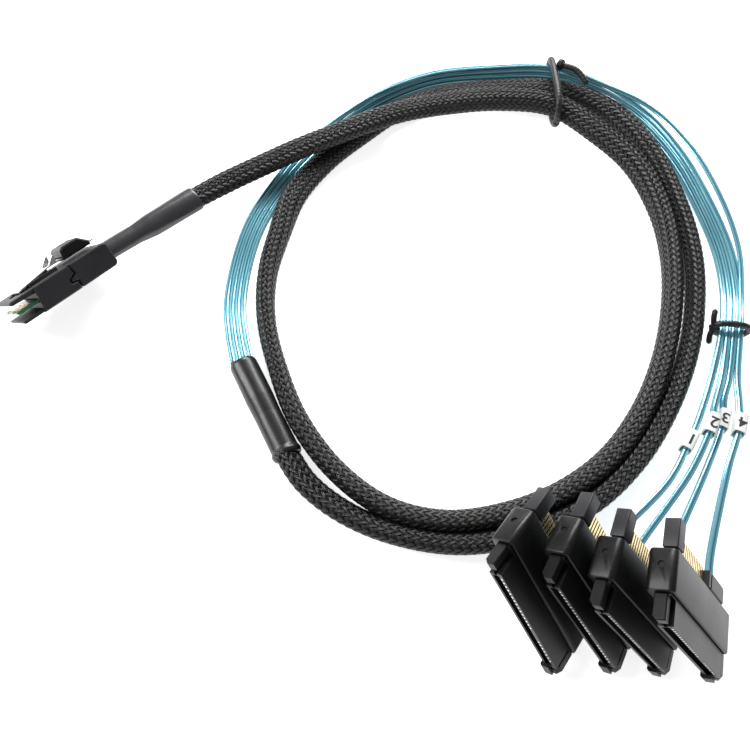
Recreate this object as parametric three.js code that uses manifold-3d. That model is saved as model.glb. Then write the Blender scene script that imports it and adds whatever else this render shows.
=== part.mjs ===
// Breakout cable: one 36-position host plug, a braided sleeve, and four 29-position drive
// connectors on pairs of flat signal wires. Millimetres, +Z up, lying on the plane Z = 0.
import * as THREE from 'three';
import { mergeVertices } from 'three/addons/utils/BufferGeometryUtils.js';
import Module from 'manifold-3d';

const wasm = await Module();
wasm.setup();

// Clearances
const seatGap = 0.3;
const pocketGap = 0.3;
const endGap = 0.9;

// Drive connector: moulded block
const blockWidth = 42.7;
const blockThickness = 7;
const blockDepth = 10.8;
const blockCorner = 1.5;
const blockEdge = 0.6;
const pocketDepth = 4;
const gateMarkRadius = 0.9;
const gateMarkDepth = 0.35;

// Drive connector: receptacle
const noseWidth = 35.5;
const noseThickness = 3.7;
const noseReach = 6.7;
const noseBase = 2.3;
const noseOffset = 0.9;
const mouthThickness = 1.8;
const mouthWall = 0.75;
const mouthDepth = 5.6;
const contactPitch = 1.27;
const grooveWidth = 0.7;
const grooveDepth = 0.6;
const powerContacts = 15;
const signalContacts = 7;
const groupGap = 5.4;
const guidePostWidth = 2.4;
const guidePostGap = 0.9;
const guidePostDrop = 0.3;
const guidePostStep = 0.8;
const guidePostTip = 1.1;
const guideGrooveWidth = 0.8;
const guideGrooveDepth = 0.6;
const keyWidth = 2.7;
const keyReach = 0.7;
const keyDrop = 1.1;

// Drive connector: power port on the back
const portWallWidth = 4.2;
const portWallThickness = 3.8;
const portWallReach = 7.8;
const tongueThickness = 1.2;
const tongueReach = 5.4;
const bladePitch = 1.27;
const bladeWidth = 0.7;
const bladeHeight = 0.3;
const bladeReach = 4.9;
const keyPostWidth = 1.3;
const keyPostReach = 4.6;

// Drive connector: wire exit block on the back
const exitWidth = 10.4;
const exitThickness = 5;
const exitReach = 4.9;
const exitGap = 0.6;
const exitCorner = 1.2;

// Host plug
const plugWidth = 21.6;
const plugThickness = 8.3;
const plugBody = 27.6;
const plugLength = 35.5;
const plugCorner = 1.6;
const seamPlace = 14;
const seamTooth = 2.1;
const seamGap = 0.5;
const forkWidth = 20;
const hoodThickness = 2.1;
const lowerForkThickness = 1.5;
const hoodSlotWidth = 5;
const hoodSlotLength = 1.8;
const railWidth = 1.2;
const railHeight = 1.1;
const railLength = 13;
const cardWidth = 18.4;
const cardThickness = 1;
const cardHeight = 3.4;
const cardStart = 5;
const cardInset = 0.4;

// Latch on the host plug
const stripWidth = 10.6;
const stripThickness = 0.4;
const stripLift = 1.8;
const stripPivot = 29.4;
const stripEnd = 1.2;
const hookWidth = 1.4;
const hookHeight = 2.1;
const hookPlace = 15.6;
const thumbCheek = 1;
const thumbWidth = stripWidth + 2 * thumbCheek;
const thumbLength = 10.6;
const thumbHeight = 3.9;
const thumbSink = 0.6;
const thumbPlace = 2.6;
const thumbRidges = 5;

// Sleeve, shrink tubes and wires
const sleeveWidth = 9;
const sleeveThickness = 6;
const sleeveSteps = 96;
const sleeveSides = 10;
const bootNeck = 3.6;
const bootWide = 4.7;
const bootStep = 0.42;
const breakoutRadius = 4.4;
const breakoutNarrow = 4.1;
const wireWidth = 1.8;
const wireThickness = 1.05;
const wireSteps = 40;
const wireSides = 8;
const lanePitch = 1.9;
const layerPitch = 1.3;
const flagWall = 0.4;
const flagLength = 7;
const flagClearance = 0.5;
const bigTieRadius = 1.3;
const smallTieRadius = 1.05;

// How each drive connector lies: left to right, leaning on its neighbour, angles in degrees
const stackShare = 0.75;
const stackStart = 58.3;
const stack = [
  { looseness: 0, back: -41.5, pitch: 8.6, roll: -47, heading: 141.8 },
  { looseness: 2.9, back: -42.0, pitch: 6.9, roll: -48.5, heading: 149.2 },
  { looseness: 0.6, back: -44.4, pitch: 1.8, roll: -49.6, heading: 156.5 },
  { looseness: 2.3, back: -46.6, pitch: 3.6, roll: -51.7, heading: 162.7 },
];
const plugPlace = { x: -76.5, y: 61.5, pitch: 6.1, roll: 42.1, heading: 138.9 };

// Route of the braided sleeve: x, y, z and the turn of its flat section, in degrees
const sleeveRoute = [
  [-51.3, 88.1, 8.8, -10],
  [-40.2, 96.2, 9.0, 0],
  [-27.4, 104.2, 9.4, 0],
  [-14.6, 111.9, 9.8, 0],
  [-2.4, 118.5, 9.9, 0],
  [11.1, 126.0, 9.6, 5],
  [25.3, 132.7, 9.0, 10],
  [42.2, 137.3, 8.5, 20],
  [62.5, 139.4, 8.6, 28],
  [83.2, 136.8, 8.0, 28],
  [98.5, 124.6, 6.2, 25],
  [110.5, 110.0, 4.8, 35],
  [116.5, 87.6, 4.3, 60],
  [116.1, 64.3, 4.5, 75],
  [112.3, 44.7, 4.5, 75],
  [105.6, 25.3, 4.5, 70],
  [96.6, 8.2, 4.3, 60],
  [84.4, -7.0, 4.3, 50],
  [69.2, -17.9, 4.3, 50],
  [51.7, -24.7, 4.3, 50],
  [33.8, -27.0, 4.3, 50],
  [17.1, -22.9, 4.3, 50],
  [2.7, -12.2, 4.4, 55],
  [-9.4, 4.1, 4.6, 60],
  [-16.9, 21.9, 4.6, 75],
  [-22.0, 40.6, 4.6, 80],
  [-22.9, 58.8, 4.5, 75],
  [-20.1, 76.2, 4.3, 60],
  [-15.7, 95.2, 3.3, 20],
  [-5.3, 112.1, 3.2, 10],
  [8.1, 126.3, 3.1, 5],
  [23.4, 139.7, 3.1, 0],
  [42.1, 148.4, 3.1, 0],
  [64.2, 150.2, 4.2, 0],
  [84.7, 147.8, 5.9, 5],
  [104.1, 139.0, 4.6, 25],
  [117.0, 117.4, 4.4, 65],
  [123.0, 90.1, 4.6, 85],
  [123.7, 67.1, 4.6, 85],
  [120.3, 46.5, 4.6, 85],
  [113.9, 27.2, 4.6, 80],
  [103.7, 7.9, 4.5, 70],
  [91.0, -8.9, 4.3, 60],
  [75.7, -21.8, 4.0, 50],
  [55.9, -30.5, 4.0, 50],
  [37.7, -33.3, 4.0, 50],
  [19.9, -30.6, 4.0, 50],
  [4.9, -24.2, 3.9, 45],
  [-6.3, -15.6, 4.4, 45],
  [-13.0, -6.0, 4.8, 45],
];

// Route of the bundle of eight wires, from the breakout to the small tie
const bundleRoute = [
  [-28.3, 24.1, 5.2, 0],
  [-31.0, 34.2, 3.8, 0],
  [-33.4, 48.1, 2.2, 0],
  [-32.7, 66.2, 1.4, 0],
  [-29.3, 82.9, 1.7, 5],
  [-22.7, 98.7, 1.7, 5],
  [-13.6, 115.3, 2.0, 10],
  [0.2, 129.9, 3.2, 30],
  [16.5, 144.0, 4.2, 60],
  [37.0, 155.0, 4.2, 78],
  [61.1, 157.5, 5.0, 76],
  [85.1, 154.8, 6.9, 65],
  [103.5, 147.6, 5.0, 55],
  [117.8, 135.2, 3.4, 35],
  [128.1, 114.4, 3.0, 25],
  [133.6, 92.0, 2.7, 20],
  [136.3, 70.6, 2.4, 15],
  [134.8, 51.8, 2.7, 10],
  [130.1, 36.0, 4.1, 5],
];

// Routes of the four pairs, from the small tie to the connectors' wire exits
const pairTails = [
  [[120.6, 20.5, 4.5, 0], [112.3, 4.4, 6.2, 0], [107.2, -3.8, 7.2, 0], [97.1, -17.8, 9.5, 0]],
  [[122.9, 19.2, 5.4, 0], [116.5, 6.8, 8.4, 0], [113.2, 0.0, 10.9, 0], [104.2, -14.4, 11.0, 0]],
  [[125.2, 18.6, 4.7, 0], [121.3, 10.6, 5.8, 0], [119.4, 3.6, 6.0, 0], [109.7, -12.5, 9.8, 0]],
  [[127.7, 18.2, 4.9, 0], [125.5, 9.4, 6.4, 0], [122.9, 1.0, 8.2, 0], [114.7, -14.1, 10.8, 0]],
];
const flagPointCount = 3;

// Materials
function finish(colour, roughness, metalness = 0) {
  return new THREE.MeshStandardMaterial({ color: colour, roughness, metalness });
}

const blackMoulding = () => finish(0x1b1b1d, 0.38);
const blackHousing = () => finish(0x222224, 0.5);
const greyPort = () => finish(0x3a3a40, 0.45);
const braidBlack = () => finish(0x17171a, 0.6);
const shrinkBlack = () => finish(0x26262a, 0.4);
const wireBlue = () => finish(0x4fb6d8, 0.2);
const flagWhite = () => finish(0xf4f4f2, 0.6);
const tieBlack = () => finish(0x1c1c1e, 0.55);
const springSteel = () => finish(0xd8dadc, 0.25, 1);
const boardGreen = () => finish(0x1f7a4a, 0.45);

// Solids
function toSolid(geometry) {
  const plain = geometry.clone();
  plain.deleteAttribute('normal');
  plain.deleteAttribute('uv');
  const merged = mergeVertices(plain, 1e-4);
  const vertProperties = new Float32Array(merged.attributes.position.array);
  const triVerts = new Uint32Array(merged.index.array);
  return new wasm.Manifold(new wasm.Mesh({ numProp: 3, vertProperties, triVerts }));
}

function toGeometry(solid) {
  const mesh = solid.getMesh();
  const geometry = new THREE.BufferGeometry();
  geometry.setAttribute('position', new THREE.BufferAttribute(new Float32Array(mesh.vertProperties), 3));
  geometry.setIndex(new THREE.BufferAttribute(new Uint32Array(mesh.triVerts), 1));
  return geometry;
}

function piece(name, solid, material) {
  const geometry = solid.isBufferGeometry ? solid : toGeometry(solid);
  const mesh = new THREE.Mesh(geometry, material);
  mesh.name = name;
  return mesh;
}

function join(...solids) {
  return wasm.Manifold.union(solids);
}

// A box from its lowest to its highest corner
function slab(x0, x1, y0, y1, z0, z1) {
  const geometry = new THREE.BoxGeometry(x1 - x0, y1 - y0, z1 - z0);
  geometry.translate((x0 + x1) / 2, (y0 + y1) / 2, (z0 + z1) / 2);
  return toSolid(geometry);
}

function roundedOutline(x0, x1, y0, y1, radius) {
  const shape = new THREE.Shape();
  shape.moveTo(x0 + radius, y0);
  shape.lineTo(x1 - radius, y0);
  shape.absarc(x1 - radius, y0 + radius, radius, -Math.PI / 2, 0, false);
  shape.lineTo(x1, y1 - radius);
  shape.absarc(x1 - radius, y1 - radius, radius, 0, Math.PI / 2, false);
  shape.lineTo(x0 + radius, y1);
  shape.absarc(x0 + radius, y1 - radius, radius, Math.PI / 2, Math.PI, false);
  shape.lineTo(x0, y0 + radius);
  shape.absarc(x0 + radius, y0 + radius, radius, Math.PI, Math.PI * 1.5, false);
  return shape;
}

function outline(points) {
  return new THREE.Shape(points.map(([u, v]) => new THREE.Vector2(u, v)));
}

// A section in X and Z, carried along Y from y0 to y1, with its end edges eased by edge
function alongDepth(shape, y0, y1, edge = 0) {
  const geometry = new THREE.ExtrudeGeometry(shape, {
    depth: y1 - y0 - 2 * edge,
    bevelEnabled: edge > 0,
    bevelThickness: edge,
    bevelSize: edge,
    bevelOffset: -edge,
    bevelSegments: 2,
    curveSegments: 4,
  });
  geometry.rotateX(Math.PI / 2);
  geometry.translate(0, y1 - edge, 0);
  return toSolid(geometry);
}

// A side outline in Y and Z, carried along X from x0 to x1, with its side edges eased by edge
function alongWidth(shape, x0, x1, edge = 0) {
  const geometry = new THREE.ExtrudeGeometry(shape, {
    depth: x1 - x0 - 2 * edge,
    bevelEnabled: edge > 0,
    bevelThickness: edge,
    bevelSize: edge,
    bevelOffset: -edge,
    bevelSegments: 1,
    curveSegments: 4,
  });
  const turn = new THREE.Matrix4().makeBasis(
    new THREE.Vector3(0, 1, 0),
    new THREE.Vector3(0, 0, 1),
    new THREE.Vector3(1, 0, 0),
  );
  geometry.applyMatrix4(turn);
  geometry.translate(x0 + edge, 0, 0);
  return toSolid(geometry);
}

// Drive connector, in its own frame: X across, power end at +X; Y towards the drive; Z through
const halfBlock = blockWidth / 2;
const noseRight = halfBlock - guidePostGap - guidePostWidth - 1.2;
const noseLeft = noseRight - noseWidth;
const noseTop = noseBase + noseThickness;
const noseFront = blockDepth + noseReach;
const rootLeft = -halfBlock + 1.6;
const rootRight = halfBlock - 1.6;
const pocketFloor = blockDepth - pocketDepth;

function mouldedBlock() {
  const section = roundedOutline(-halfBlock, halfBlock, 0, blockThickness, blockCorner);
  const frontPocket = slab(rootLeft - pocketGap, rootRight + pocketGap,
    pocketFloor, blockDepth + 1, noseBase - pocketGap, noseTop + pocketGap);
  const portPocket = slab(portLeft - pocketGap, rootRight + pocketGap,
    -1, pocketDepth, tongueBase - pocketGap, tongueTop + pocketGap);
  const exitPocket = slab(exitOffset - exitWidth / 2 + exitCorner - pocketGap,
    exitOffset + exitWidth / 2 - exitCorner + pocketGap,
    -1, pocketDepth, exitRootBase - pocketGap, exitRootTop + pocketGap);
  const gateMark = new THREE.CylinderGeometry(gateMarkRadius, gateMarkRadius, 2 * gateMarkDepth, 12);
  gateMark.rotateZ(Math.PI / 2);
  gateMark.translate(halfBlock, blockDepth * 0.4, blockThickness / 2);
  return alongDepth(section, 0, blockDepth, blockEdge)
    .subtract(frontPocket)
    .subtract(portPocket)
    .subtract(exitPocket)
    .subtract(toSolid(gateMark));
}

function contactGrooves() {
  const grooves = [];
  const mouthTop = noseBase + mouthWall + mouthThickness;
  const cutGroup = (count, start) => {
    for (let i = 0; i < count; i += 1) {
      const centre = start - i * contactPitch;
      grooves.push(slab(centre - grooveWidth / 2, centre + grooveWidth / 2,
        noseFront - mouthDepth + 1, noseFront + 1, mouthTop - 0.1, mouthTop + grooveDepth));
    }
  };
  const powerStart = noseRight - mouthWall - contactPitch;
  const signalStart = powerStart - (powerContacts - 1) * contactPitch - groupGap;
  cutGroup(powerContacts, powerStart);
  cutGroup(signalContacts, signalStart);
  return grooves;
}

function receptacle() {
  const root = slab(rootLeft, rootRight, pocketFloor + seatGap, blockDepth + 0.5, noseBase, noseTop);
  const nose = slab(noseLeft, noseRight, blockDepth, noseFront, noseBase, noseTop);
  const mouth = slab(noseLeft + mouthWall, noseRight - mouthWall, noseFront - mouthDepth, noseFront + 1,
    noseBase + mouthWall, noseBase + mouthWall + mouthThickness);
  const postLow = noseBase - guidePostDrop;
  const postFront = noseFront - 0.2;
  const guidePost = alongWidth(outline([
    [blockDepth, postLow],
    [postFront - guidePostTip, postLow],
    [postFront, postLow + guidePostTip],
    [postFront, noseTop - guidePostStep],
    [blockDepth, noseTop - guidePostStep],
  ]), noseRight + guidePostGap, noseRight + guidePostGap + guidePostWidth, 0.25);
  const guideGroove = slab(noseRight - guideGrooveDepth, noseRight + 1, blockDepth + seatGap, noseFront + 1,
    noseBase + noseThickness / 2 - guideGrooveWidth / 2, noseBase + noseThickness / 2 + guideGrooveWidth / 2);
  const arm = alongWidth(outline([
    [blockDepth, noseBase],
    [noseFront, noseBase],
    [noseFront, noseTop - 1.2],
    [noseFront - 1.4, noseTop - 0.2],
    [blockDepth, noseTop - 0.2],
  ]), noseLeft - keyWidth, noseLeft - 0.8);
  const key = alongWidth(outline([
    [noseFront - 3.6, noseBase + 0.6],
    [noseFront - 2.6, noseBase - keyDrop],
    [noseFront + keyReach - 0.5, noseBase - keyDrop],
    [noseFront + keyReach, noseBase - keyDrop + 0.5],
    [noseFront + keyReach, noseBase + 1.6],
    [noseFront - 3.6, noseBase + 1.6],
  ]), noseLeft - keyWidth, noseLeft + 0.4);
  const body = join(root, nose, guidePost, arm, key);
  return wasm.Manifold.difference([body, mouth, guideGroove, ...contactGrooves()]);
}

const tongueTop = blockThickness - 1.9;
const tongueBase = tongueTop - tongueThickness;
const portRight = halfBlock - 0.3;
const tongueRight = portRight - portWallWidth;
const tongueLeft = tongueRight - powerContacts * bladePitch - 0.3;
const portLeft = tongueLeft - keyPostWidth;
const exitOffset = portLeft - exitGap - exitWidth / 2;

function powerPort() {
  const wallTop = blockThickness - 0.1;
  const root = slab(portLeft, rootRight, -seatGap, pocketDepth - seatGap, tongueBase, tongueTop);
  const wall = alongDepth(
    roundedOutline(tongueRight, portRight, wallTop - portWallThickness, wallTop, 0.35),
    -portWallReach, -seatGap, 0.25);
  const tongue = slab(tongueLeft, tongueRight, -tongueReach, 0, tongueBase, tongueTop);
  const keyPost = slab(portLeft, tongueLeft, -keyPostReach, -seatGap, tongueBase, wallTop);
  const blades = [];
  for (let i = 0; i < powerContacts; i += 1) {
    const centre = tongueRight - (i + 0.5) * bladePitch - 0.1;
    blades.push(slab(centre - bladeWidth / 2, centre + bladeWidth / 2,
      -bladeReach, -seatGap, tongueTop - 0.1, tongueTop + bladeHeight));
  }
  return join(root, wall, tongue, keyPost, ...blades);
}

const exitTop = blockThickness - 0.1;
const exitBase = exitTop - exitThickness;
const exitRootTop = exitTop - 1.4;
const exitRootBase = exitBase + 1.2;

function wireExit() {
  const left = exitOffset - exitWidth / 2;
  const right = exitOffset + exitWidth / 2;
  const plan = new THREE.Shape();
  plan.moveTo(left, -seatGap);
  plan.lineTo(left, -exitReach + exitCorner);
  plan.absarc(left + exitCorner, -exitReach + exitCorner, exitCorner, Math.PI, Math.PI * 1.5, false);
  plan.lineTo(right - exitCorner, -exitReach);
  plan.absarc(right - exitCorner, -exitReach + exitCorner, exitCorner, Math.PI * 1.5, Math.PI * 2, false);
  plan.lineTo(right, -seatGap);
  const geometry = new THREE.ExtrudeGeometry(plan, {
    depth: exitThickness - 0.6,
    bevelEnabled: true,
    bevelThickness: 0.3,
    bevelSize: 0.3,
    bevelOffset: -0.3,
    bevelSegments: 1,
    curveSegments: 3,
  });
  geometry.translate(0, 0, exitBase + 0.3);
  const trim = slab(left - 1, right + 1, -seatGap, 1, exitBase - 1, exitTop + 1);
  const root = slab(left + exitCorner, right - exitCorner, -exitReach / 2, pocketDepth - seatGap,
    exitRootBase, exitRootTop);
  return join(toSolid(geometry).subtract(trim), root);
}

// Host plug, in its own frame: X across; Y towards the host, zero at the rear face; Z through
const halfPlug = plugWidth / 2;
const halfFork = forkWidth / 2;
const cardTop = cardHeight + cardThickness;
const cardSlot = () => slab(-cardWidth / 2 - pocketGap, cardWidth / 2 + pocketGap,
  cardStart - pocketGap, plugBody + 2, cardHeight - pocketGap, cardTop + pocketGap);

// The hooked joint line between the two shells, from the bottom edge to the top edge
function seam(offset) {
  const low = plugThickness * 0.33;
  const high = plugThickness * 0.52;
  return [
    [seamPlace + offset, 0],
    [seamPlace + offset, low - offset * 0.4],
    [seamPlace + seamTooth + offset, low + 0.3 - offset * 0.4],
    [seamPlace + seamTooth + offset, high - 0.3 + offset * 0.4],
    [seamPlace - 0.4 + offset, high + 0.6 + offset * 0.4],
    [seamPlace + offset, plugThickness],
  ];
}

function plugRearShell() {
  const profile = new THREE.Shape();
  profile.moveTo(plugCorner, 0);
  seam(0).forEach(([y, z]) => profile.lineTo(y, z));
  profile.lineTo(plugCorner, plugThickness);
  profile.absarc(plugCorner, plugThickness - plugCorner, plugCorner, Math.PI / 2, Math.PI, false);
  profile.lineTo(0, plugCorner);
  profile.absarc(plugCorner, plugCorner, plugCorner, Math.PI, Math.PI * 1.5, false);
  return alongWidth(profile, -halfPlug, halfPlug, 0.4).subtract(cardSlot());
}

function plugFrontShell() {
  const joint = seam(seamGap);
  const profile = new THREE.Shape();
  profile.moveTo(joint[0][0], joint[0][1]);
  profile.lineTo(plugBody + 0.6, 0);
  profile.lineTo(plugBody - 0.8, plugThickness);
  [...joint].reverse().slice(0, -1).forEach(([y, z]) => profile.lineTo(y, z));
  const hood = alongWidth(outline([
    [plugBody - 3, plugThickness - hoodThickness],
    [plugLength - 0.6, plugThickness - hoodThickness + 0.5],
    [plugLength, plugThickness - hoodThickness + 1],
    [plugLength, plugThickness - 0.7],
    [plugLength - 0.7, plugThickness - 0.2],
    [plugBody - 3, plugThickness - 0.2],
  ]), -halfFork, halfFork, 0.3);
  const lowerFork = alongWidth(outline([
    [plugBody - 3, 0.2],
    [plugLength - 0.6, 0.2],
    [plugLength - 0.2, 0.6],
    [plugLength - 0.2, lowerForkThickness - 0.3],
    [plugBody - 3, lowerForkThickness],
  ]), -halfFork, halfFork, 0.2);
  const rail = (side) => slab(side * (stripWidth / 2 + 0.5), side * (stripWidth / 2 + 0.5) + railWidth,
    plugBody - railLength + 2, plugBody - 1, plugThickness - 0.2, plugThickness + railHeight);
  const leftRail = rail(1).mirror([1, 0, 0]);
  const hoodSlot = slab(-hoodSlotWidth / 2, hoodSlotWidth / 2,
    plugLength - 3 - hoodSlotLength, plugLength - 3, plugThickness - hoodThickness - 1, plugThickness + 1);
  const body = join(alongWidth(profile, -halfPlug, halfPlug, 0.4), hood, lowerFork, rail(1), leftRail);
  return wasm.Manifold.difference([body, cardSlot(), hoodSlot, latchNotch()]);
}

// The notch in the front shell's roof that takes the turned-down front end of the latch strip
function latchNotch() {
  return slab(-stripWidth / 2 - pocketGap, stripWidth / 2 + pocketGap,
    stripPivot - 2.6, stripPivot + 1.6, plugThickness - 1.5, plugThickness + 2);
}

function paddleCard() {
  const front = plugLength - cardInset;
  const plate = alongWidth(outline([
    [cardStart, cardHeight],
    [front - 0.5, cardHeight],
    [front, cardHeight + 0.3],
    [front, cardTop - 0.3],
    [front - 0.5, cardTop],
    [cardStart, cardTop],
  ]), -cardWidth / 2, cardWidth / 2);
  const notch = (x) => slab(x - 0.5, x + 0.5, front - 3, front + 1, cardHeight - 1, cardTop + 1);
  return plate.subtract(notch(-cardWidth * 0.17)).subtract(notch(cardWidth * 0.24));
}

const stripFoot = plugThickness - 0.9;
const stripUnder = plugThickness + stripLift;

function latchStrip() {
  const top = stripUnder + stripThickness;
  const sheet = alongWidth(outline([
    [stripPivot + 0.9, stripFoot],
    [stripPivot + 0.9, plugThickness + 0.45],
    [stripPivot - 0.5, plugThickness + 0.45 + stripThickness],
    [hookPlace + 3, top],
    [stripEnd, top],
    [stripEnd, stripUnder],
    [hookPlace + 3, stripUnder],
    [stripPivot - 0.6, plugThickness + 0.35],
    [stripPivot + 0.9 - stripThickness, plugThickness + 0.05],
    [stripPivot + 0.9 - stripThickness, stripFoot],
  ]), -stripWidth / 2, stripWidth / 2);
  const hook = (x) => alongWidth(outline([
    [hookPlace + 2.4, top - 0.1],
    [hookPlace - 0.4, top + hookHeight],
    [hookPlace - 1, top + hookHeight],
    [hookPlace - 0.6, top - 0.1],
  ]), x - hookWidth / 2, x + hookWidth / 2);
  const window = slab(-stripWidth * 0.22, stripWidth * 0.22, hookPlace - 2, hookPlace + 3,
    stripUnder - 1, top + 1);
  const hookOffset = stripWidth / 2 - hookWidth / 2 - 0.3;
  return wasm.Manifold.difference([join(sheet, hook(hookOffset), hook(-hookOffset)), window]);
}

function latchThumb() {
  const base = stripUnder - thumbSink;
  const top = base + thumbHeight;
  const front = thumbPlace + thumbLength;
  const body = alongWidth(outline([
    [thumbPlace + 0.2, base],
    [front, base],
    [front - 0.8, top - 0.6],
    [front - 1.8, top],
    [thumbPlace + 2.9, top],
    [thumbPlace, base + 1.2],
  ]), -thumbWidth / 2, thumbWidth / 2, 0.5);
  const stripSlot = slab(-stripWidth / 2 - pocketGap, stripWidth / 2 + pocketGap,
    thumbPlace - 1, front + 1, stripUnder - pocketGap, stripUnder + stripThickness + pocketGap);
  const ridges = [];
  const ridgePitch = (thumbLength - 5.4) / thumbRidges;
  for (let i = 0; i < thumbRidges; i += 1) {
    const y = thumbPlace + 3.3 + i * ridgePitch;
    ridges.push(slab(-thumbWidth / 2 + 1, thumbWidth / 2 - 1, y, y + ridgePitch / 2, top - 0.3, top + 1));
  }
  return wasm.Manifold.difference([body, stripSlot, ...ridges]);
}

// Routes
function lane(route, side, height) {
  const points = route.map(([x, y, z]) => new THREE.Vector3(x, y, z));
  return points.map((point, i) => {
    const ahead = points[Math.min(i + 1, points.length - 1)];
    const behind = points[Math.max(i - 1, 0)];
    const { across, over } = sectionAxes(ahead.clone().sub(behind), route[i][3]);
    return point.clone().addScaledVector(across, side).addScaledVector(over, height);
  });
}

// The directions across and over a flat section that runs along a direction, turned by roll
function sectionAxes(direction, roll) {
  const tangent = direction.clone().normalize();
  const level = new THREE.Vector3(0, 0, 1).cross(tangent).normalize();
  const up = tangent.clone().cross(level);
  const angle = THREE.MathUtils.degToRad(roll);
  const across = level.clone().multiplyScalar(Math.cos(angle)).addScaledVector(up, Math.sin(angle));
  return { tangent, across, over: tangent.clone().cross(across) };
}

class FlatRoute extends THREE.CatmullRomCurve3 {
  constructor(points, rolls) {
    super(points, false, 'centripetal');
    this.rolls = rolls;
  }

  rollAt(t) {
    const place = t * (this.rolls.length - 1);
    const index = Math.min(Math.floor(place), this.rolls.length - 2);
    return THREE.MathUtils.lerp(this.rolls[index], this.rolls[index + 1], place - index);
  }

  computeFrenetFrames(segments) {
    const frames = { tangents: [], normals: [], binormals: [] };
    for (let i = 0; i <= segments; i += 1) {
      const t = this.getUtoTmapping(i / segments);
      const { tangent, across, over } = sectionAxes(this.getTangent(t), this.rollAt(t));
      frames.tangents.push(tangent);
      frames.normals.push(across);
      frames.binormals.push(over);
    }
    return frames;
  }
}

function flatSection(width, thickness, sides) {
  const points = [];
  for (let i = 0; i < sides; i += 1) {
    const angle = (2 * Math.PI * (i + 0.5)) / sides;
    points.push(new THREE.Vector2((width / 2) * Math.cos(angle), (thickness / 2) * Math.sin(angle)));
  }
  return new THREE.Shape(points);
}

function flatCord(curve, width, thickness, sides, steps) {
  return toSolid(new THREE.ExtrudeGeometry(flatSection(width, thickness, sides), {
    steps,
    extrudePath: curve,
    bevelEnabled: false,
  }));
}

// A turned tube from one point towards another: profile stations are [share of length, radius]
function shrinkTube(from, to, stations, squash) {
  const length = from.distanceTo(to);
  const profile = [new THREE.Vector2(0, 0)];
  stations.forEach(([share, radius]) => profile.push(new THREE.Vector2(radius, share * length)));
  profile.push(new THREE.Vector2(0, length));
  const geometry = new THREE.LatheGeometry(profile, 16);
  const { tangent, across, over } = sectionAxes(to.clone().sub(from), 0);
  geometry.scale(squash, 1, 1);
  geometry.applyMatrix4(new THREE.Matrix4().makeBasis(over, tangent, across));
  geometry.translate(from.x, from.y, from.z);
  return toSolid(geometry);
}

// Ties: a closed round loop about the strands, with a knot and its twisted ends
function tie(radius, loopPoints, ends, knotPlace, knotRadius) {
  const round = flatSection(2 * radius, 2 * radius, 8);
  const path = new THREE.CatmullRomCurve3(loopPoints, true, 'centripetal');
  const loop = toSolid(mergedRing(path, radius));
  const tails = ends.map((points) => toSolid(new THREE.ExtrudeGeometry(round, {
    steps: 8,
    extrudePath: new THREE.CatmullRomCurve3(points),
    bevelEnabled: false,
  })));
  const knot = new THREE.SphereGeometry(knotRadius, 12, 8);
  knot.translate(knotPlace.x, knotPlace.y, knotPlace.z);
  return join(loop, ...tails, toSolid(knot));
}

// A closed ring of round section about a level-free loop, built ring by ring
function mergedRing(path, radius) {
  const steps = 28;
  const sides = 8;
  const positions = [];
  const index = [];
  const centre = new THREE.Vector3();
  const spine = path.getSpacedPoints(steps).slice(0, steps);
  spine.forEach((point) => centre.addScaledVector(point, 1 / steps));
  const axis = new THREE.Vector3();
  spine.forEach((point, i) => {
    const next = spine[(i + 1) % steps];
    axis.add(point.clone().sub(centre).cross(next.clone().sub(centre)));
  });
  axis.normalize();
  spine.forEach((point, i) => {
    const tangent = spine[(i + 1) % steps].clone().sub(spine[(i + steps - 1) % steps]).normalize();
    const outward = tangent.clone().cross(axis).normalize();
    for (let k = 0; k < sides; k += 1) {
      const angle = (2 * Math.PI * k) / sides;
      const rim = point.clone()
        .addScaledVector(outward, radius * Math.cos(angle))
        .addScaledVector(axis, radius * Math.sin(angle));
      positions.push(rim.x, rim.y, rim.z);
    }
  });
  for (let i = 0; i < steps; i += 1) {
    for (let k = 0; k < sides; k += 1) {
      const a = i * sides + k;
      const b = i * sides + ((k + 1) % sides);
      const c = ((i + 1) % steps) * sides + k;
      const d = ((i + 1) % steps) * sides + ((k + 1) % sides);
      index.push(a, c, b, b, c, d);
    }
  }
  const geometry = new THREE.BufferGeometry();
  geometry.setAttribute('position', new THREE.Float32BufferAttribute(positions, 3));
  geometry.setIndex(index);
  return geometry;
}

// Assembly
const cable = new THREE.Group();

function placeOnFloor(group, x, y, pitch, roll, heading) {
  group.rotation.set(
    THREE.MathUtils.degToRad(pitch),
    THREE.MathUtils.degToRad(roll),
    THREE.MathUtils.degToRad(heading),
    'ZXY',
  );
  group.position.set(x, y, 0);
  group.updateMatrixWorld(true);
  const box = new THREE.Box3().setFromObject(group, true);
  group.position.z -= box.min.z;
  group.updateMatrixWorld(true);
  cable.add(group);
}

function addDriveConnector(number, x, lie) {
  const group = new THREE.Group();
  group.add(piece(`connector_${number}_block`, mouldedBlock(), blackMoulding()));
  group.add(piece(`connector_${number}_receptacle`, receptacle(), blackHousing()));
  group.add(piece(`connector_${number}_power_port`, powerPort(), greyPort()));
  group.add(piece(`connector_${number}_wire_exit`, wireExit(), blackHousing()));
  placeOnFloor(group, x, lie.back, lie.pitch, lie.roll, lie.heading);
  return group;
}

const connectors = [];
let stackPlace = stackStart - blockThickness / stackShare;
stack.forEach((lie, i) => {
  stackPlace += blockThickness / stackShare + lie.looseness;
  connectors.push(addDriveConnector(i + 1, stackPlace, lie));
});

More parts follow.
